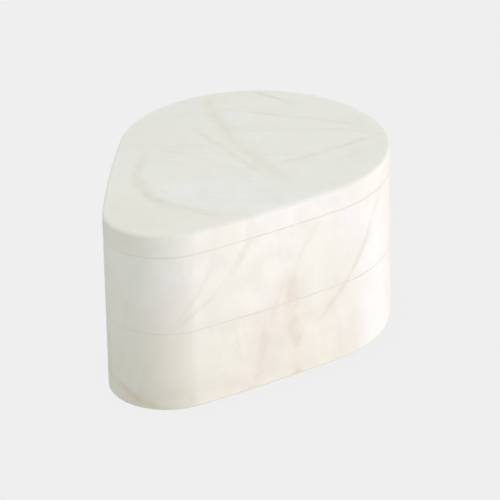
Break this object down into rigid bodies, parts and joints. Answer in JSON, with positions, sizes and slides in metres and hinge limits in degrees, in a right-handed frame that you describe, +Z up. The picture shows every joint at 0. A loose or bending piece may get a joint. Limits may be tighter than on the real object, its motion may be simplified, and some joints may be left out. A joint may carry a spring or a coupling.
{
  "type": "swivel trinket box",
  "caption": "Free-standing stacked stone trinket box: two hollow trays and a flat lid of one teardrop plan, each swinging sideways on a hidden pin in the narrow end.",
  "frame": {"origin": "on the resting face, under the middle of the plan's length and width", "axes": "+X along the plan's long axis from the narrow end to the broad end, +Z up, the plan mirrored about the XZ plane"},
  "size_m": [0.1948, 0.1434, 0.1],
  "materials": {
    "alabaster": "honed satin, faintly translucent, with soft amber veins",
    "brass_hardware": "turned, uncoated",
    "steel_hardware": "ground, lightly oiled",
    "slip_film": "skived PTFE and nylon, matte, waxy",
    "clear_glide": "clear film, smooth",
    "felt": "pressed wool felt, off-white"
  },
  "bodies": {
    "base": {"base_tray": "alabaster", "base_bushing": "brass_hardware", "middle_thrust_washer": "slip_film", "base_rim_glides": "clear_glide", "bearing_washer": "steel_hardware", "base_felt": "felt"},
    "middle": {"middle_tray": "alabaster", "middle_bushing": "brass_hardware", "lid_thrust_washer": "slip_film", "middle_rim_glides": "clear_glide"},
    "lid": {"lid": "alabaster", "lid_insert": "brass_hardware", "pivot_pin": "steel_hardware", "disc_spring": "steel_hardware", "retainer_washer": "steel_hardware", "lock_nut": "steel_hardware", "nut_locking_ring": "slip_film"}
  },
  "joints": [
    {"name": "middle_swivel", "type": "hinge", "parent": "base", "child": "middle", "pos_m": [-0.0659, 0, 0.044], "axis": [0, 0, 1], "continuous": true},
    {"name": "lid_swivel", "type": "hinge", "parent": "middle", "child": "lid", "pos_m": [-0.0659, 0, 0.0871], "axis": [0, 0, 1], "continuous": true}
  ]
}
